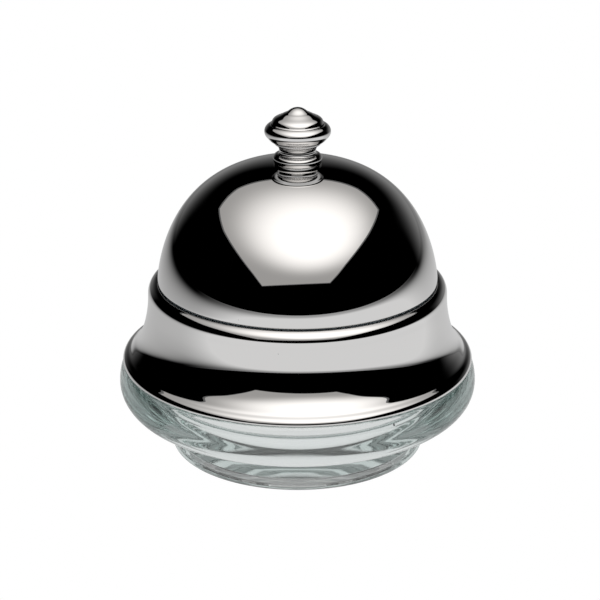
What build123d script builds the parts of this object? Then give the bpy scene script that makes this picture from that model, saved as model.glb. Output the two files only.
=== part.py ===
"""Lidded dappen dish: a thick pressed-glass bowl, a spun steel collar and a lift-off domed steel lid.

Units are millimetres. +Z is up and is the axis of every turned, spun or moulded piece. The origin is
the centre of the ground foot ring, so z = 0 is the table. Outlines are drawn as (radius, height)
and turned about Z. The bowl carries two lift-off groups, the collar with its sleeve and the lid
with its knob, and each group sits in a soft ring that it can turn on.
"""

import os
from math import acos, asin, cos, degrees, radians, sin, sqrt

from build123d import *

# ---------------------------------------------------------------- driving dimensions
SHEET = 0.55  # polished sheet of the dome and the collar
THIN_SHEET = 0.45  # hidden sheet rings
FIT = 0.03  # clearance between two pieces that touch
RUNNING = 0.05  # radial clearance where a piece turns or slides
CURVE_STEPS = 14  # stretches of a smooth curve drawn from a formula

# Glass bowl
FOOT_R = 25.6
FOOT_TAPER = 0.25
GROUND_RING_INNER_R = 22.0
RECESS_EDGE = (21.0, 0.9)
BASE_RECESS = 1.8
FOOT_WALL_TOP = 5.23
COVE_R = 3.1
UNDERSIDE_Z = FOOT_WALL_TOP + COVE_R
BELLY_CENTRE_R = 31.0
BELLY_R = 35.99
BELLY_Z = 13.6
SHOULDER_SEMI_Z = 7.0
RIM_PLANE_Z = 17.9
RIM_ROUND = 0.6
MOUTH_R = 28.2
WELL_WALL_BOTTOM = 15.5
WELL_FLOOR_Z = 5.2

# Collar
LIP_CENTRE = (28.04, 32.0)
LIP_HALF_W = 1.79
LIP_HALF_H = 2.25
LIP_SKIRT_Z = 29.6
NECK_POINTS = [(30.06, 28.55), (30.6, 25.7), (31.47, 23.0), (32.5, 21.2), (33.3, 20.2), (33.95, 19.52)]
ROLL_CENTRE = (33.95, 18.1)
ROLL_R = 1.29
ROLL_START_ANGLE = 60
ROLL_END_ANGLE = 2

# Collar sleeve and gasket
SLEEVE_R = 27.7
SLEEVE_BOTTOM_Z = 13.9
PAD_OUTER_R = 33.3
PAD_EDGE_Z = 18.6
LIP_TOP_Z = 19.6

# Dome of the lid: a superellipse, a little fuller than a round arch
DOME_R = 28.28
DOME_SPRING_Z = 28.3
DOME_H = 30.3
DOME_OUT_POWER = 2.5
DOME_UP_POWER = 2.28
DOME_EDGE_Z = 34.5
DOME_APEX_Z = DOME_SPRING_Z + DOME_H

# Lid skirt and seal
SKIRT_R = 25.45
SKIRT_BOTTOM_Z = 30.9
SEAL_BOTTOM_Z = 31.1
SEAL_BODY_R = 25.95
SEAL_RIB_R = LIP_CENTRE[0] - LIP_HALF_W - RUNNING
SEAL_RIBS_Z = (31.5, 32.3)
SEAL_CUSHION_R = 27.75
SEAL_CUSHION_BOTTOM = LIP_CENTRE[1] + LIP_HALF_H + FIT
SEAL_CUSHION_TOP = DOME_EDGE_Z - FIT

# Knob and its M3 fixing
KNOB_TOP_Z = 69.42
BUTTON_R = 2.64
BUTTON_START_ANGLE = 51.3
KNOB_RIM = (6.46, 64.72)
FOOT_EDGE_R = 4.64
NECK_R = 3.62
SCREW_R = 1.45
TAPPED_R = 1.50
DOME_HOLE_R = 1.60
KNOB_BORE_END_Z = 65.1
SCREW_TIP_Z = 64.6
KNOB_WASHER_R = 3.9
KNOB_WASHER_T = 0.30
SCREW_HEAD_R = 2.75
SCREW_HEAD_H = 1.7
SLOT_W = 0.75
SLOT_DEPTH = 0.85
FLAT_WASHER_R = 3.5
FLAT_WASHER_T = 0.5
SPRING_WASHER_R = 2.95
SPRING_WASHER_T = 0.7
SPRING_GAP = 0.6
FLAT_WASHER_TOP = DOME_APEX_Z - SHEET - 0.15  # the dome curves away, so the washer's rim touches first
SPRING_WASHER_TOP = FLAT_WASHER_TOP - FLAT_WASHER_T - FIT
SCREW_HEAD_TOP = SPRING_WASHER_TOP - SPRING_WASHER_T - FIT


# ---------------------------------------------------------------- helpers
def turned(edges):
    """The closed outline that these (radius, height) edges make, turned about Z into a solid."""
    return revolve(Plane.XZ * make_face(Wire(edges)), axis=Axis.Z)


def path(*points):
    """The straight edges that join the points in order."""
    return [Line(a, b) for a, b in zip(points, points[1:])]


def on_circle(centre, radius, angle):
    """The point of a circle at an angle in degrees."""
    return (centre[0] + radius * cos(radians(angle)), centre[1] + radius * sin(radians(angle)))


def arc(centre, radius, first, last):
    """A circular arc from one angle to the other, in degrees."""
    return ThreePointArc(*[on_circle(centre, radius, angle) for angle in (first, (first + last) / 2, last)])


def ellipse_arc(centre, out, up, first, sweep):
    """Part of an upright ellipse, from one parameter angle through a sweep, in degrees."""
    return EllipticalCenterArc(centre, out, up, start_angle=first, arc_size=sweep)


def inward_copy(curve, distance):
    """The same downward curve moved square to itself, towards the axis, and traced back upwards."""
    points = []
    for step in range(CURVE_STEPS + 1):
        share = 1 - step / CURVE_STEPS
        place = curve.position_at(share)
        along = curve.tangent_at(share)
        points.append((place.X + distance * along.Y, place.Y - distance * along.X))
    return Spline(*points)


def sheet_ring(edges, thickness, side):
    """A ring of sheet: the strip between the outline and the same outline offset to one side."""
    strip = Wire(edges).offset_2d(thickness, side=side)
    return revolve(Plane.XZ * make_face(strip), axis=Axis.Z)


def flat_ring(inner_r, outer_r, bottom, height):
    """A flat washer."""
    corners = [(inner_r, bottom), (outer_r, bottom), (outer_r, bottom + height), (inner_r, bottom + height)]
    return turned(path(*corners, corners[0]))


# ---------------------------------------------------------------- glass
def glass_bowl():
    """Thick pressed bowl: ground foot ring, coved foot, rounded belly and a deep rounded well."""
    belly_centre = (BELLY_CENTRE_R, BELLY_Z)
    belly_out = BELLY_R - BELLY_CENTRE_R
    shoulder_rise = (RIM_PLANE_Z - BELLY_Z) / SHOULDER_SEMI_Z
    shoulder_angle = degrees(asin(shoulder_rise))
    shoulder_r = BELLY_CENTRE_R + belly_out * sqrt(1 - shoulder_rise**2)
    foot_top_r = FOOT_R - FOOT_TAPER
    cove_centre = (foot_top_r + COVE_R, FOOT_WALL_TOP)
    foot_round = 0.45
    outline = [
        ThreePointArc((0, BASE_RECESS), (11, BASE_RECESS - 0.15), RECESS_EDGE),
        Line(RECESS_EDGE, (GROUND_RING_INNER_R, 0)),
        Line((GROUND_RING_INNER_R, 0), (FOOT_R - foot_round, 0)),
        arc((FOOT_R - foot_round, foot_round), foot_round, 270, 360),
        Line((FOOT_R, foot_round), (foot_top_r, FOOT_WALL_TOP)),
        arc(cove_centre, COVE_R, 180, 90),
        Line((cove_centre[0], UNDERSIDE_Z), (BELLY_CENTRE_R, UNDERSIDE_Z)),
        ellipse_arc(belly_centre, belly_out, BELLY_Z - UNDERSIDE_Z, 270, 90),
        ellipse_arc(belly_centre, belly_out, SHOULDER_SEMI_Z, 0, shoulder_angle),
        Line((shoulder_r, RIM_PLANE_Z), (MOUTH_R, RIM_PLANE_Z)),
        Line((MOUTH_R, RIM_PLANE_Z), (MOUTH_R, WELL_WALL_BOTTOM)),
        ellipse_arc((0, WELL_WALL_BOTTOM), MOUTH_R, WELL_WALL_BOTTOM - WELL_FLOOR_Z, 270, 90),
        Line((0, WELL_FLOOR_Z), (0, BASE_RECESS)),
    ]
    face = make_face(Wire(outline))
    rim_corners = [v for v in face.vertices() if abs(v.Y - RIM_PLANE_Z) < FIT]
    return revolve(Plane.XZ * fillet(rim_corners, RIM_ROUND), axis=Axis.Z)


def rim_gasket():
    """Clear soft ring: a pad between the glass rim and the collar, and a lip down into the mouth."""
    inner = SLEEVE_R + RUNNING
    lip = MOUTH_R - FIT
    floor = RIM_PLANE_Z + FIT
    corners = [
        (inner, WELL_WALL_BOTTOM),
        (lip, WELL_WALL_BOTTOM),
        (lip, floor),
        (PAD_OUTER_R, floor),
        (PAD_OUTER_R, PAD_EDGE_Z),
        (PAD_OUTER_R - 0.9, PAD_EDGE_Z + 0.85),
        (30.6, 20.4),
        (29.7, LIP_TOP_Z),
        (inner, LIP_TOP_Z),
    ]
    return turned(path(*corners, corners[0]))


# ---------------------------------------------------------------- collar
def collar():
    """Spun sheet: tall rolled mouth lip, neck that flares into a coved flange, and a rounded-down rim."""
    centre_r, centre_z = LIP_CENTRE
    mouth_r = centre_r - LIP_HALF_W
    neck_start = (centre_r + LIP_HALF_W, centre_z)
    roll_start = on_circle(ROLL_CENTRE, ROLL_R, ROLL_START_ANGLE)
    along_roll = (sin(radians(ROLL_START_ANGLE)), -cos(radians(ROLL_START_ANGLE)))
    outside = Spline(neck_start, *NECK_POINTS, roll_start, tangents=((0, -1), along_roll))
    roll_end = on_circle(ROLL_CENTRE, ROLL_R, ROLL_END_ANGLE)
    return turned([
        Line((mouth_r, LIP_SKIRT_Z), (mouth_r, centre_z)),
        ellipse_arc(LIP_CENTRE, LIP_HALF_W, LIP_HALF_H, 0, 180),
        outside,
        arc(ROLL_CENTRE, ROLL_R, ROLL_START_ANGLE, ROLL_END_ANGLE),
        Line(roll_end, on_circle(ROLL_CENTRE, ROLL_R - SHEET, ROLL_END_ANGLE)),
        arc(ROLL_CENTRE, ROLL_R - SHEET, ROLL_END_ANGLE, ROLL_START_ANGLE),
        inward_copy(outside, SHEET),
        ellipse_arc(LIP_CENTRE, LIP_HALF_W - SHEET, LIP_HALF_H - SHEET, 0, 180),
        *path((mouth_r + SHEET, centre_z), (mouth_r + SHEET, LIP_SKIRT_Z), (mouth_r, LIP_SKIRT_Z)),
    ])


def collar_sleeve():
    """Sheet ring fixed inside the neck: it centres the collar in the mouth of the glass."""
    outline = path((29.30, 30.0), (29.64, 27.0), (SLEEVE_R, 24.6), (SLEEVE_R, SLEEVE_BOTTOM_Z))
    return sheet_ring(outline, THIN_SHEET, Side.RIGHT)


# ---------------------------------------------------------------- lid
def dome_height(radius):
    """Height of the dome's outside at a radius."""
    return DOME_SPRING_Z + DOME_H * (1 - (radius / DOME_R) ** DOME_OUT_POWER) ** (1 / DOME_UP_POWER)


def dome_radius(radius, height, z):
    """Radius at height z of a dome that springs at DOME_SPRING_Z."""
    return radius * (1 - ((z - DOME_SPRING_Z) / height) ** DOME_UP_POWER) ** (1 / DOME_OUT_POWER)


def dome_curve(radius, height, lowest, innermost):
    """The dome's line from height lowest up to radius innermost, as a smooth curve."""
    first = asin(((lowest - DOME_SPRING_Z) / height) ** (DOME_UP_POWER / 2))
    last = acos((innermost / radius) ** (DOME_OUT_POWER / 2))
    points = []
    for step in range(CURVE_STEPS + 1):
        angle = first + (last - first) * step / CURVE_STEPS
        out = radius * cos(angle) ** (2 / DOME_OUT_POWER)
        up = height * sin(angle) ** (2 / DOME_UP_POWER)
        points.append((out, DOME_SPRING_Z + up))
    return Spline(*points)


def dome_lid():
    """Deep drawn dome with a round edge and a screw hole at the top."""
    outer = dome_curve(DOME_R, DOME_H, DOME_EDGE_Z + SHEET / 2, DOME_HOLE_R)
    inner = dome_curve(DOME_R - SHEET, DOME_H - SHEET, DOME_EDGE_Z + SHEET / 2, DOME_HOLE_R)
    outer_foot = outer @ 0
    inner_foot = inner @ 0
    edge_bottom = ((outer_foot.X + inner_foot.X) / 2, DOME_EDGE_Z)
    return turned([
        outer,
        Line(outer @ 1, inner @ 1),
        inner,
        ThreePointArc(inner_foot, edge_bottom, outer_foot),
    ])


def lid_skirt():
    """Sheet ring fixed inside the dome: it drops into the collar mouth and carries the seal."""
    clear = SHEET + FIT
    top_z = 37.4
    step_z = 35.1
    outline = path(
        (dome_radius(DOME_R - SHEET, DOME_H - SHEET, top_z) - FIT, top_z),
        (dome_radius(DOME_R, DOME_H, step_z) - clear, step_z),
        (SKIRT_R, step_z - 0.3),
        (SKIRT_R, SKIRT_BOTTOM_Z + 0.1),
        (SKIRT_R + 0.35, SKIRT_BOTTOM_Z - 0.25),
    )
    return sheet_ring(outline, THIN_SHEET, Side.RIGHT)


def lid_seal():
    """Clear soft sleeve on the skirt: two ribs wipe the collar mouth, and a cushion carries the dome."""
    inner = SKIRT_R + FIT
    rib = SEAL_RIB_R - SEAL_BODY_R
    low, high = SEAL_RIBS_Z
    outline = [
        *path((SEAL_CUSHION_R, SEAL_CUSHION_TOP), (inner, SEAL_CUSHION_TOP), (inner, SEAL_BOTTOM_Z)),
        *path((inner, SEAL_BOTTOM_Z), (SEAL_BODY_R, SEAL_BOTTOM_Z), (SEAL_BODY_R, low - rib)),
        arc((SEAL_BODY_R, low), rib, -90, 90),
        *path((SEAL_BODY_R, low + rib), (SEAL_BODY_R, high - rib)),
        arc((SEAL_BODY_R, high), rib, -90, 90),
        *path((SEAL_BODY_R, high + rib), (SEAL_BODY_R, SEAL_CUSHION_BOTTOM)),
        *path((SEAL_BODY_R, SEAL_CUSHION_BOTTOM), (SEAL_CUSHION_R, SEAL_CUSHION_BOTTOM)),
        Line((SEAL_CUSHION_R, SEAL_CUSHION_BOTTOM), (SEAL_CUSHION_R, SEAL_CUSHION_TOP)),
    ]
    return turned(outline)


def finial_knob():
    """Turned knob: stepped foot, waist, flare, rolled rim and a low bell crown, tapped from below."""
    foot_z = dome_height(FOOT_EDGE_R) + FIT
    recess_r = KNOB_WASHER_R + 0.1
    washer_top = DOME_APEX_Z + FIT + KNOB_WASHER_T + FIT
    bell = [(4.72, 67.13), (4.1, 67.53), (3.35, 67.87), (2.6, 68.27)]
    button_start = on_circle((0, KNOB_TOP_Z - BUTTON_R), BUTTON_R, BUTTON_START_ANGLE)
    along_button = (-sin(radians(BUTTON_START_ANGLE)), cos(radians(BUTTON_START_ANGLE)))
    outline = [
        *path((0, KNOB_BORE_END_Z), (TAPPED_R, KNOB_BORE_END_Z), (TAPPED_R, washer_top)),
        *path((TAPPED_R, washer_top), (recess_r, washer_top), (recess_r, foot_z + 0.05)),
        *path((recess_r, foot_z + 0.05), (FOOT_EDGE_R, foot_z), (4.82, 59.15)),
        ThreePointArc((4.82, 59.15), (4.66, 59.85), (4.15, 60.22)),
        *path((4.15, 60.22), (3.85, 60.25)),
        ThreePointArc((3.85, 60.25), (3.69, 60.4), (NECK_R, 60.85)),
        ThreePointArc((NECK_R, 60.85), (3.8, 61.65), (4.3, 62.2)),
        ThreePointArc((4.3, 62.2), (4.55, 62.3), (4.6, 62.55)),
        ThreePointArc((4.6, 62.55), (5.35, 62.98), (5.78, 63.42)),
        *path((5.78, 63.42), (5.88, 63.57)),
        ThreePointArc((5.88, 63.57), KNOB_RIM, (5.5, 66.08)),
        *path((5.5, 66.08), (5.36, 66.08)),
        ThreePointArc((5.36, 66.08), (5.27, 66.3), (5.08, 66.4)),
        Line((5.08, 66.4), (5.03, 66.58)),
        Spline((5.03, 66.58), *bell, button_start, tangents=((-0.4, 1), along_button)),
        arc((0, KNOB_TOP_Z - BUTTON_R), BUTTON_R, BUTTON_START_ANGLE, 90),
        Line((0, KNOB_TOP_Z), (0, KNOB_BORE_END_Z)),
    ]
    return turned(outline)


def knob_washer():
    """Thin plastic washer that keeps the turned knob off the polished dome."""
    return flat_ring(DOME_HOLE_R, KNOB_WASHER_R, DOME_APEX_Z + FIT, KNOB_WASHER_T)


def flat_washer():
    """Washer under the dome, against the sheet."""
    return flat_ring(DOME_HOLE_R, FLAT_WASHER_R, FLAT_WASHER_TOP - FLAT_WASHER_T, FLAT_WASHER_T)


def spring_washer():
    """Split spring washer, shown pressed flat."""
    ring = flat_ring(DOME_HOLE_R, SPRING_WASHER_R, SPRING_WASHER_TOP - SPRING_WASHER_T, SPRING_WASHER_T)
    cutter = Box(2 * SPRING_WASHER_R, SPRING_GAP, 2 * SPRING_WASHER_T)
    middle = (DOME_HOLE_R + SPRING_WASHER_R) / 2
    place = Pos(middle, 0, SPRING_WASHER_TOP - SPRING_WASHER_T / 2) * Rot(35, 0, 0)
    return ring - place * cutter


def finial_screw():
    """Slotted pan-head screw that goes up through the dome into the knob."""
    seat = SCREW_HEAD_TOP
    bottom = seat - SCREW_HEAD_H
    crown_z = bottom + 0.5
    flat_r = SCREW_HEAD_R - 0.5
    outline = [
        *path((0, SCREW_TIP_Z), (0, bottom), (flat_r, bottom)),
        ThreePointArc((flat_r, bottom), (SCREW_HEAD_R - 0.15, bottom + 0.15), (SCREW_HEAD_R, crown_z)),
        *path((SCREW_HEAD_R, crown_z), (SCREW_HEAD_R, seat), (SCREW_R, seat), (SCREW_R, SCREW_TIP_Z - 0.4)),
        *path((SCREW_R, SCREW_TIP_Z - 0.4), (SCREW_R - 0.4, SCREW_TIP_Z), (0, SCREW_TIP_Z)),
    ]
    slot = Pos(0, 0, bottom) * Box(3 * SCREW_HEAD_R, SLOT_W, 2 * SLOT_DEPTH)
    return turned(outline) - slot


NODES = [
    glass_bowl,
    rim_gasket,
    collar,
    collar_sleeve,
    dome_lid,
    lid_skirt,
    lid_seal,
    finial_knob,
    knob_washer,
    flat_washer,
    spring_washer,
    finial_screw,
]

os.makedirs("parts", exist_ok=True)
for node in NODES:
    export_step(node(), f"parts/{node.__name__}.step")
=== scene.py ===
"""Looks of a lidded dappen dish: thick pressed glass, mirror-polished steel and clear silicone.

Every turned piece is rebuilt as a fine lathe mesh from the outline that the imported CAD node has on
its seam, so its size and place are the frame's own. Lengths are in metres unless a name says mm.
"""

import math

import bmesh
import bpy
from mathutils import Matrix, Vector, noise


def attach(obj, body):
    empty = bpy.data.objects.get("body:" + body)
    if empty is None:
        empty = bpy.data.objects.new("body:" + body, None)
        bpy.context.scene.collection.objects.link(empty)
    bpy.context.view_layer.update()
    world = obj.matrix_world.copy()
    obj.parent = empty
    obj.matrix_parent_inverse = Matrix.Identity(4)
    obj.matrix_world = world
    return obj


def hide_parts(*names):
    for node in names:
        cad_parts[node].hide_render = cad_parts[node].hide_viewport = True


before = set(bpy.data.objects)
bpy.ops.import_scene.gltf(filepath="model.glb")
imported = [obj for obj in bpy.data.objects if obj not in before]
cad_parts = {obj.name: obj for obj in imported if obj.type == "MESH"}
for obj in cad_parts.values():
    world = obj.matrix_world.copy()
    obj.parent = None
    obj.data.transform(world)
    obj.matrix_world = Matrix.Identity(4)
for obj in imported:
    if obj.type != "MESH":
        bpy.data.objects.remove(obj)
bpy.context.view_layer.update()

MM = 0.001

# ---------------------------------------------------------------- outlines and lathe meshes
SEAM_TOLERANCE = 2e-7
CORNER_ANGLE = math.radians(50)
CORNER_ROUND = 0.07 * MM
PROFILE_STEP = 0.28 * MM
TURN_STEPS = 384


def seam_outline(node):
    """Points (radius, height) of a turned CAD node, in order, with the solid on the left side."""
    bm = bmesh.new()
    bm.from_mesh(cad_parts[node].data)
    bmesh.ops.remove_doubles(bm, verts=bm.verts, dist=SEAM_TOLERANCE)
    on_seam = [abs(v.co.y) < SEAM_TOLERANCE and v.co.x > -SEAM_TOLERANCE for v in bm.verts]
    places = [(max(v.co.x, 0.0), v.co.z) for v in bm.verts]
    links = {}
    for edge in bm.edges:
        a, b = (v.index for v in edge.verts)
        if on_seam[a] and on_seam[b]:
            links.setdefault(a, []).append(b)
            links.setdefault(b, []).append(a)
    bm.free()
    ends = sorted(v for v, near in links.items() if len(near) == 1)
    start = ends[0] if ends else min(links)
    chain = [start]
    before, here = None, start
    while True:
        onward = [v for v in links[here] if v != before and (v != start or len(chain) > 2)]
        if not onward or onward[0] == start:
            break
        before, here = here, onward[0]
        chain.append(here)
    points = [Vector(places[v]) for v in chain]
    closed = not ends
    if not closed:
        for at in (0, -1):
            if points[at].x > SEAM_TOLERANCE:
                on_axis = Vector((0.0, points[at].y))
                points.insert(0 if at == 0 else len(points), on_axis)
    loop = points + [points[0]]
    area = sum(a.x * b.y - b.x * a.y for a, b in zip(loop, loop[1:]))
    if area < 0:
        points.reverse()
    return points, closed


def turn_angle(a, b, c):
    """How far the outline turns at b."""
    first, second = b - a, c - b
    if first.length < 1e-9 or second.length < 1e-9:
        return 0.0
    return first.angle(second)


def rounded_corners(points, closed):
    """The outline with each hard corner cut into a tiny round."""
    out = []
    count = len(points)
    for i, here in enumerate(points):
        if not closed and i in (0, count - 1):
            out.append(here)
            continue
        before, after = points[i - 1], points[(i + 1) % count]
        if turn_angle(before, here, after) < CORNER_ANGLE:
            out.append(here)
            continue
        into, onward = before - here, after - here
        cut = min(CORNER_ROUND, 0.35 * into.length, 0.35 * onward.length)
        start = here + into.normalized() * cut
        end = here + onward.normalized() * cut
        for share in (0.0, 0.25, 0.5, 0.75, 1.0):
            out.append(start * (1 - share) ** 2 + here * 2 * share * (1 - share) + end * share**2)
    return out


def smooth_between(p0, p1, p2, p3, share):
    """A point of the centripetal Catmull-Rom curve from p1 to p2."""
    t1 = math.sqrt(max((p1 - p0).length, 1e-9))
    t2 = t1 + math.sqrt(max((p2 - p1).length, 1e-9))
    t3 = t2 + math.sqrt(max((p3 - p2).length, 1e-9))
    t = t1 + (t2 - t1) * share
    a1 = p0 * ((t1 - t) / t1) + p1 * (t / t1)
    a2 = p1 * ((t2 - t) / (t2 - t1)) + p2 * ((t - t1) / (t2 - t1))
    a3 = p2 * ((t3 - t) / (t3 - t2)) + p3 * ((t - t2) / (t3 - t2))
    b1 = a1 * ((t2 - t) / t2) + a2 * (t / t2)
    b2 = a2 * ((t3 - t) / (t3 - t1)) + a3 * ((t - t1) / (t3 - t1))
    return b1 * ((t2 - t) / (t2 - t1)) + b2 * ((t - t1) / (t2 - t1))


def fine_outline(points, closed):
    """The outline resampled closely along a smooth curve through its points."""
    points = rounded_corners(points, closed)
    count = len(points)
    spans = count if closed else count - 1
    out = []
    for i in range(spans):
        p1, p2 = points[i], points[(i + 1) % count]
        p0 = points[i - 1] if closed or i > 0 else p1 * 2 - p2
        p3 = points[(i + 2) % count] if closed or i + 2 < count else p2 * 2 - p1
        pieces = max(1, math.ceil((p2 - p1).length / PROFILE_STEP))
        straight = turn_angle(p0, p1, p2) > 0.5 or turn_angle(p1, p2, p3) > 0.5
        for k in range(pieces):
            share = k / pieces
            out.append(p1.lerp(p2, share) if straight else smooth_between(p0, p1, p2, p3, share))
    if not closed:
        out.append(points[-1])
    return out


def lathe(name, outline, closed, wobble=None):
    """A smooth turned mesh; wobble(angle, radius, height) gives a small change of radius."""
    rings, verts, faces = [], [], []
    for place in outline:
        if place.x < 1e-6:
            verts.append((0.0, 0.0, place.y))
            rings.append([len(verts) - 1] * TURN_STEPS)
            continue
        first = len(verts)
        for k in range(TURN_STEPS):
            angle = 2 * math.pi * k / TURN_STEPS
            r = place.x + (wobble(angle, place.x, place.y) if wobble else 0.0)
            verts.append((r * math.cos(angle), r * math.sin(angle), place.y))
        rings.append(list(range(first, first + TURN_STEPS)))
    if closed:
        rings.append(rings[0])
    for low, high in zip(rings, rings[1:]):
        for k in range(TURN_STEPS):
            n = (k + 1) % TURN_STEPS
            corners = [low[k], low[n], high[n], high[k]]
            faces.append(list(dict.fromkeys(corners)))
    mesh = bpy.data.meshes.new(name)
    mesh.from_pydata(verts, [], faces)
    mesh.shade_smooth()
    piece = bpy.data.objects.new(name, mesh)
    bpy.context.scene.collection.objects.link(piece)
    return piece


def turned_piece(node, body, material, wobble=None):
    """A fine mesh that stands for a turned CAD node."""
    points, closed = seam_outline(node)
    piece = lathe(node + "_fine", fine_outline(points, closed), closed, wobble)
    piece.data.materials.append(material)
    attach(piece, body)
    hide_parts(node)
    return piece


# ---------------------------------------------------------------- node helpers
class Tree:
    """Short calls for building a shader tree."""

    def __init__(self, owner):
        owner.use_nodes = True
        self.nodes = owner.node_tree.nodes
        self.links = owner.node_tree.links
        self.nodes.clear()

    def add(self, kind, inputs=None, **settings):
        """A node with settings; inputs are values or other nodes' outputs, by name or number."""
        node = self.nodes.new(kind)
        for key, value in settings.items():
            setattr(node, key, value)
        for key, value in (inputs or {}).items():
            if isinstance(value, bpy.types.NodeSocket):
                self.links.new(value, node.inputs[key])
            else:
                node.inputs[key].default_value = value
        return node

    def math(self, operation, a, b=0.0, c=0.0, clamp=False):
        """The result of one Math node."""
        node = self.add("ShaderNodeMath", {0: a, 1: b, 2: c}, operation=operation, use_clamp=clamp)
        return node.outputs[0]

    def ramp(self, value, low, high, at_low=0.0, at_high=1.0):
        """value mapped smoothly from low..high to at_low..at_high."""
        node = self.add(
            "ShaderNodeMapRange",
            {"Value": value, "From Min": low, "From Max": high, "To Min": at_low, "To Max": at_high},
            interpolation_type="SMOOTHSTEP",
        )
        return node.outputs[0]

    def mix(self, share, a, b):
        """Two colours mixed."""
        node = self.add("ShaderNodeMix", {0: share, 6: a, 7: b}, data_type="RGBA")
        return node.outputs[2]

    def noise(self, vector, scale, detail=2.0, roughness=0.5):
        """The value of one Noise texture."""
        inputs = {"Vector": vector, "Scale": scale, "Detail": detail, "Roughness": roughness}
        return self.add("ShaderNodeTexNoise", inputs).outputs[0]


def material(name):
    """A new material and its tree."""
    made = bpy.data.materials.new(name)
    return made, Tree(made)


def turned_coordinates(tree):
    """Object position as (radius, height, angle) in mm and radians, for marks that follow the lathe."""
    place = tree.add("ShaderNodeTexCoord").outputs["Object"]
    split = tree.add("ShaderNodeSeparateXYZ", {0: place})
    x, y, z = split.outputs
    flat = tree.math("SQRT", tree.math("ADD", tree.math("MULTIPLY", x, x), tree.math("MULTIPLY", y, y)))
    angle = tree.math("ARCTAN2", y, x)
    radius_mm = tree.math("MULTIPLY", flat, 1000.0)
    height_mm = tree.math("MULTIPLY", z, 1000.0)
    return place, radius_mm, height_mm, angle


def lathe_vector(tree, radius_mm, height_mm, angle, along):
    """A texture vector that is long around the axis: rings with a slow change along them."""
    inputs = {0: radius_mm, 1: height_mm, 2: tree.math("MULTIPLY", angle, along)}
    return tree.add("ShaderNodeCombineXYZ", inputs).outputs[0]


# ---------------------------------------------------------------- materials
def dust_and_glint_specks(tree, place, scale, size, share):
    """1 on a few tiny specks, 0 elsewhere."""
    cells = tree.add("ShaderNodeTexVoronoi", {"Vector": place, "Scale": scale, "Randomness": 1.0})
    near = tree.math("LESS_THAN", cells.outputs["Distance"], size)
    chance = tree.add("ShaderNodeSeparateColor", {0: cells.outputs["Color"]}).outputs[0]
    return tree.math("MULTIPLY", near, tree.math("LESS_THAN", chance, share))


def polished_steel():
    """Mirror steel: faint wiping haze that follows the turning, and a few specks of dust."""
    made, t = material("polished_steel_fine")
    place, radius, height, angle = turned_coordinates(t)
    wiped = t.noise(lathe_vector(t, radius, height, angle, 0.8), 0.35, 3.0, 0.6)
    smear = t.noise(place, 70.0, 4.0, 0.6)
    haze = t.math("MULTIPLY", t.ramp(smear, 0.45, 0.8), t.ramp(wiped, 0.35, 0.7))
    metal = t.add(
        "ShaderNodeBsdfPrincipled",
        {
            "Base Color": t.mix(haze, (0.66, 0.655, 0.65, 1), (0.63, 0.63, 0.63, 1)),
            "Metallic": 1.0,
            "Roughness": t.ramp(haze, 0.0, 1.0, 0.012, 0.05),
        },
    )
    dust = t.add("ShaderNodeBsdfDiffuse", {"Color": (0.5, 0.5, 0.5, 1)})
    speck = dust_and_glint_specks(t, place, 260.0, 0.035, 0.15)
    both = t.add("ShaderNodeMixShader", {0: speck, 1: metal.outputs[0], 2: dust.outputs[0]})
    t.add("ShaderNodeOutputMaterial", {0: both.outputs[0]})
    return made


def satin_steel():
    """Sheet left as it was spun: close rings and a soft, wide highlight."""
    made, t = material("satin_steel_fine")
    place, radius, height, angle = turned_coordinates(t)
    rings = t.noise(lathe_vector(t, radius, height, angle, 1.5), 9.0, 4.0, 0.7)
    smear = t.noise(place, 60.0, 3.0, 0.5)
    bump = t.add("ShaderNodeBump", {"Height": rings, "Strength": 0.25, "Distance": 0.00003})
    metal = t.add(
        "ShaderNodeBsdfPrincipled",
        {
            "Base Color": t.mix(smear, (0.52, 0.52, 0.52, 1), (0.62, 0.615, 0.61, 1)),
            "Metallic": 1.0,
            "Roughness": t.ramp(rings, 0.3, 0.7, 0.22, 0.34),
            "Normal": bump.outputs[0],
        },
    )
    t.add("ShaderNodeOutputMaterial", {0: metal.outputs[0]})
    return made


def zinc_hardware():
    """Bright plated screw and washers, with slightly mottled plating."""
    made, t = material("zinc_hardware_fine")
    place = turned_coordinates(t)[0]
    mottle = t.noise(place, 900.0, 4.0, 0.6)
    bump = t.add("ShaderNodeBump", {"Height": mottle, "Strength": 0.2, "Distance": 0.00003})
    metal = t.add(
        "ShaderNodeBsdfPrincipled",
        {
            "Base Color": t.mix(mottle, (0.50, 0.51, 0.54, 1), (0.66, 0.66, 0.65, 1)),
            "Metallic": 1.0,
            "Roughness": t.ramp(mottle, 0.3, 0.7, 0.2, 0.36),
            "Normal": bump.outputs[0],
        },
    )
    t.add("ShaderNodeOutputMaterial", {0: metal.outputs[0]})
    return made


WELL_FLOOR_MM = 5.1
WELL_RADIUS_MM = 28.25


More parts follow.
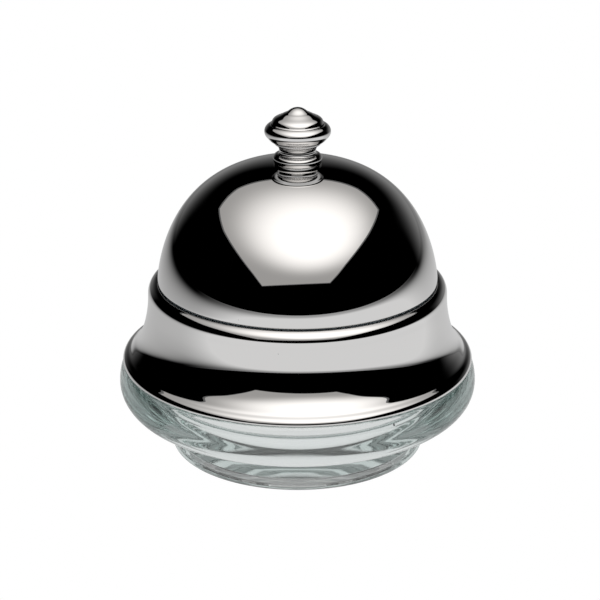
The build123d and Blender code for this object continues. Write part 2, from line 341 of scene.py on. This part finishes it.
def clear_glass():
    """Thick clear glass, a little less glossy in the pressed well, with a few tiny bubbles at the skin,
    each drawn as a white translucent dot that is a painted glint.
    """
    made, t = material("clear_glass_fine")
    place, radius, height, angle = turned_coordinates(t)
    above_floor = t.math("GREATER_THAN", height, WELL_FLOOR_MM)
    inside_mouth = t.math("LESS_THAN", radius, WELL_RADIUS_MM)
    well = t.math("MULTIPLY", above_floor, inside_mouth)
    skin = t.ramp(t.noise(place, 160.0), 0.45, 0.8, 0.0, 0.03)
    surface = t.add(
        "ShaderNodeBsdfPrincipled",
        {
            "Base Color": (1, 1, 1, 1),
            "Roughness": t.math("ADD", skin, t.math("MULTIPLY", well, 0.06)),
            "IOR": 1.517,
            "Transmission Weight": 1.0,
        },
    )
    # Tiny bubbles: the bubbles are real, but their glint is painted as a white translucent dot in place of
    # the light they catch.
    bubble_glint = t.add("ShaderNodeBsdfTranslucent", {"Color": (0.95, 0.97, 0.96, 1)})
    glint_dot = dust_and_glint_specks(t, place, 170.0, 0.045, 0.10)
    both = t.add("ShaderNodeMixShader", {0: glint_dot, 1: surface.outputs[0], 2: bubble_glint.outputs[0]})
    body = t.add("ShaderNodeVolumeAbsorption", {"Color": (0.65, 0.79, 0.765, 1), "Density": 16.0})
    t.add("ShaderNodeOutputMaterial", {0: both.outputs[0], 1: body.outputs[0]})
    return made


def clear_silicone():
    """Soft see-through ring material with a smoky blue tint, low gloss and a fine moulded grain."""
    made, t = material("clear_silicone_fine")
    place = turned_coordinates(t)[0]
    grain = t.noise(place, 1500.0, 2.0, 0.6)
    cloud = t.noise(place, 150.0, 2.0, 0.5)
    bump = t.add("ShaderNodeBump", {"Height": grain, "Strength": 0.15, "Distance": 0.00003})
    surface = t.add(
        "ShaderNodeBsdfPrincipled",
        {
            "Base Color": t.mix(cloud, (0.20, 0.27, 0.31, 1), (0.28, 0.35, 0.39, 1)),
            "Roughness": t.ramp(cloud, 0.3, 0.7, 0.25, 0.38),
            "IOR": 1.41,
            "Transmission Weight": 0.6,
            "Normal": bump.outputs[0],
        },
    )
    t.add("ShaderNodeOutputMaterial", {0: surface.outputs[0]})
    return made


def white_nylon():
    """Natural nylon washer."""
    made, t = material("white_nylon_fine")
    place = turned_coordinates(t)[0]
    grain = t.noise(place, 1200.0, 3.0, 0.6)
    bump = t.add("ShaderNodeBump", {"Height": grain, "Strength": 0.2, "Distance": 0.00002})
    surface = t.add(
        "ShaderNodeBsdfPrincipled",
        {
            "Base Color": t.mix(grain, (0.80, 0.79, 0.74, 1), (0.90, 0.89, 0.85, 1)),
            "Roughness": 0.45,
            "Subsurface Weight": 0.2,
            "Subsurface Scale": 0.001,
            "Normal": bump.outputs[0],
        },
    )
    t.add("ShaderNodeOutputMaterial", {0: surface.outputs[0]})
    return made


# ---------------------------------------------------------------- pieces
RING_DRIFT = 0.2
RINGS_PER_M = 700
RING_FADE_R = 10 * MM
RING_DEPTH = 0.01 * MM


def glass_rings(angle, radius, height):
    """Faint rings that the mould leaves in pressed glass, up to a hundredth of a millimetre high."""
    drift = Vector((math.cos(angle), math.sin(angle), 0.0)) * RING_DRIFT
    around = drift + Vector((0.0, 0.0, height * RINGS_PER_M))
    fade = min(1.0, radius / RING_FADE_R)
    return RING_DEPTH * fade * noise.noise(around)


steel = polished_steel()
satin = satin_steel()
glass = clear_glass()
silicone = clear_silicone()
nylon = white_nylon()
zinc = zinc_hardware()

turned_piece("glass_bowl", "bowl", glass, glass_rings)
turned_piece("rim_gasket", "gasket", silicone)
turned_piece("collar", "collar", steel)
turned_piece("collar_sleeve", "collar", satin)
turned_piece("dome_lid", "lid", steel)
turned_piece("lid_skirt", "lid", satin)
turned_piece("lid_seal", "seal", silicone)
turned_piece("finial_knob", "lid", steel)
turned_piece("knob_washer", "lid", nylon)
turned_piece("flat_washer", "lid", zinc)

for node in ("spring_washer", "finial_screw"):
    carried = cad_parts[node]
    carried.data.materials.clear()
    carried.data.materials.append(zinc)

# ---------------------------------------------------------------- stage and light
# These values aren't a studio plan. The softbox's corners, its hot spot and the light levels on the
# floor were fitted, outside this script, to the reflections in the steel of the reference picture.
# The floor and the world also show a different brightness to the camera, to mirrors and through glass.
FLOOR_R = 2.7
POOL_CENTRE = (0.10, -0.15)
POOL_HALF = (0.45, 0.45)
POOL_LEVEL = 0.92
WEDGE_TURN = math.radians(15)
WEDGE_FULL = math.radians(15)
WEDGE_END = math.radians(105)
WEDGE_LEVEL = 0.92
WEDGE_FADE = (0.35, 1.4, 0.5)
PAPER_LEVEL = 0.22
FLOOR_TOP_LEVEL = 0.93
CONTACT_SHADE = (0.03, 0.12, 0.72)
SOFTBOX_Z = 0.35
SOFTBOX_CORNERS = (
    (-0.505, -0.905), (-0.007, -0.844), (0.406, -0.791), (0.400, -0.560), (0.385, -0.392),
    (0.372, -0.038), (0.352, 0.215), (0.191, 0.290), (0.001, 0.320), (-0.192, 0.290),
    (-0.330, 0.200), (-0.378, -0.001), (-0.400, -0.196), (-0.445, -0.560),
)  # fmt: skip
SOFTBOX_FRAME = 1.035
HOT_SPOT = (0.065, -0.186)
HOT_HALF = (0.311, 0.329)
HOT_POWER = 3.3
HOT_LEVEL = 1.3
SOFTBOX_LEVEL = 0.48
SOFTBOX_COLOR = (1.0, 0.975, 0.95, 1)
SOFTBOX_FRAME_LEVEL = 0.16
BACKDROP_TURN = math.radians(8)
SEEN_THROUGH_GLASS = 0.3


def flat_sheet(name, corners):
    """A one-sided flat polygon."""
    mesh = bpy.data.meshes.new(name)
    mesh.from_pydata(corners, [], [list(range(len(corners)))])
    sheet = bpy.data.objects.new(name, mesh)
    bpy.context.scene.collection.objects.link(sheet)
    return sheet


def one_sided_glow(tree, strength, color):
    """Light from the front of a sheet; from behind, the sheet isn't there."""
    glow = tree.add("ShaderNodeEmission", {"Color": color, "Strength": strength})
    back = tree.add("ShaderNodeNewGeometry").outputs["Backfacing"]
    clear = tree.add("ShaderNodeBsdfTransparent")
    both = tree.add("ShaderNodeMixShader", {0: back, 1: glow.outputs[0], 2: clear.outputs[0]})
    tree.add("ShaderNodeOutputMaterial", {0: both.outputs[0]})


def seen_white(tree, strength):
    """White seen straight on, partly so through the glass, and the given strength in reflections."""
    path = tree.add("ShaderNodeLightPath")
    through = tree.math("MULTIPLY", path.outputs["Is Transmission Ray"], SEEN_THROUGH_GLASS)
    seen = tree.math("MAXIMUM", path.outputs["Is Camera Ray"], through)
    rest = tree.math("MULTIPLY", strength, tree.math("SUBTRACT", 1.0, seen))
    return tree.math("ADD", rest, seen)


def bell(tree, x, y, centre, half, power):
    """exp(-distance^power) of a place from a centre, with half widths."""
    across = tree.math("DIVIDE", tree.math("SUBTRACT", x, centre[0]), half[0])
    along = tree.math("DIVIDE", tree.math("SUBTRACT", y, centre[1]), half[1])
    square = tree.math("ADD", tree.math("MULTIPLY", across, across), tree.math("MULTIPLY", along, along))
    return tree.math("EXPONENT", tree.math("MULTIPLY", tree.math("POWER", square, power / 2), -1.0))


def backdrop(tree, x, y):
    """How much of the dim paper backdrop lies this way: 1 behind the dish, 0 at its sides."""
    turn = tree.math("SUBTRACT", tree.math("ARCTAN2", x, y), BACKDROP_TURN)
    return tree.ramp(tree.math("ABSOLUTE", turn), math.radians(20), math.radians(55), 1.0, 0.0)


def pale_floor():
    """White table. Steel mirrors a pool of light under the softbox, bright forward and dim behind."""
    turns = [2 * math.pi * k / 96 for k in range(96)]
    floor = flat_sheet("floor", [(FLOOR_R * math.cos(a), FLOOR_R * math.sin(a), -0.02 * MM) for a in turns])
    made, t = material("pale_floor")
    place = t.add("ShaderNodeTexCoord").outputs["Object"]
    x, y, z = t.add("ShaderNodeSeparateXYZ", {0: place}).outputs
    far = t.math("SQRT", t.math("ADD", t.math("MULTIPLY", x, x), t.math("MULTIPLY", y, y)))
    pool = t.math("MULTIPLY", bell(t, x, y, POOL_CENTRE, POOL_HALF, 2.0), POOL_LEVEL)
    ahead = t.math("SUBTRACT", t.math("ARCTAN2", x, t.math("MULTIPLY", y, -1.0)), WEDGE_TURN)
    wedge = t.ramp(t.math("ABSOLUTE", ahead), WEDGE_FULL, WEDGE_END, WEDGE_LEVEL, 0.0)
    near, away, end_share = WEDGE_FADE
    wedge = t.math("MULTIPLY", wedge, t.ramp(far, near, away, 1.0, end_share))
    paper = t.math("MULTIPLY", backdrop(t, x, y), t.ramp(far, 0.3, 0.7, 0.0, PAPER_LEVEL))
    light = t.math("MINIMUM", t.math("ADD", t.math("ADD", pool, wedge), paper), FLOOR_TOP_LEVEL)
    inner, outer, inner_share = CONTACT_SHADE
    light = t.math("MULTIPLY", light, t.ramp(far, inner, outer, inner_share, 1.0))
    one_sided_glow(t, seen_white(t, light), (1, 1, 1, 1))
    floor.data.materials.append(made)


def softbox():
    """One large diffuser overhead with a hot spot, and the dim edge of its frame around it."""
    box = flat_sheet("softbox", [(x, y, SOFTBOX_Z) for x, y in reversed(SOFTBOX_CORNERS)])
    made, t = material("softbox_glow")
    place = t.add("ShaderNodeTexCoord").outputs["Object"]
    x, y, z = t.add("ShaderNodeSeparateXYZ", {0: place}).outputs
    hot = bell(t, x, y, HOT_SPOT, HOT_HALF, HOT_POWER)
    strength = t.math("ADD", t.math("MULTIPLY", hot, HOT_LEVEL), SOFTBOX_LEVEL)
    one_sided_glow(t, strength, SOFTBOX_COLOR)
    box.data.materials.append(made)
    box.visible_camera = False
    middle = sum((Vector(c) for c in SOFTBOX_CORNERS), Vector((0, 0))) / len(SOFTBOX_CORNERS)
    outer = [middle + (Vector(c) - middle) * SOFTBOX_FRAME for c in SOFTBOX_CORNERS]
    rim = flat_sheet("softbox_frame", [(c.x, c.y, SOFTBOX_Z + MM) for c in reversed(outer)])
    made, t = material("softbox_frame_glow")
    one_sided_glow(t, SOFTBOX_FRAME_LEVEL, (1, 1, 1, 1))
    rim.data.materials.append(made)
    rim.visible_camera = False


def surroundings():
    """White behind the dish for the camera; for the steel, a dark room with a dim paper backdrop."""
    world = bpy.data.worlds.new("studio")
    bpy.context.scene.world = world
    t = Tree(world)
    toward = t.add("ShaderNodeTexCoord").outputs["Generated"]
    x, y, z = t.add("ShaderNodeSeparateXYZ", {0: toward}).outputs
    paper = t.math("MULTIPLY", backdrop(t, x, y), t.ramp(z, -0.08, 0.42, 0.27, 0.0))
    glow = t.add("ShaderNodeBackground", {"Color": (1, 1, 1, 1), "Strength": seen_white(t, paper)})
    t.add("ShaderNodeOutputWorld", {0: glow.outputs[0]})


pale_floor()
softbox()
surroundings()

# ---------------------------------------------------------------- camera
CAMERA_PLACE = Vector((0.49, -333.27, 157.88)) * MM
CAMERA_PITCH = 0.3673
CAMERA_ROLL = math.radians(0.05)
LENS_MM = 106.8
SENSOR_MM = 36.0

camera_data = bpy.data.cameras.new("camera")
camera_data.lens = LENS_MM
camera_data.sensor_width = SENSOR_MM
camera_data.clip_start = 0.01
camera_data.clip_end = 10.0
camera = bpy.data.objects.new("camera", camera_data)
bpy.context.scene.collection.objects.link(camera)
camera.matrix_world = (
    Matrix.Translation(CAMERA_PLACE)
    @ Matrix.Rotation(math.pi / 2 - CAMERA_PITCH, 4, "X")
    @ Matrix.Rotation(CAMERA_ROLL, 4, "Z")
)
bpy.context.scene.camera = camera
bpy.context.scene.view_settings.view_transform = "Standard"
bpy.context.scene.cycles.transparent_max_bounces = 16
bpy.context.scene.cycles.max_bounces = 24
bpy.context.scene.cycles.transmission_bounces = 24
bpy.context.scene.cycles.glossy_bounces = 12
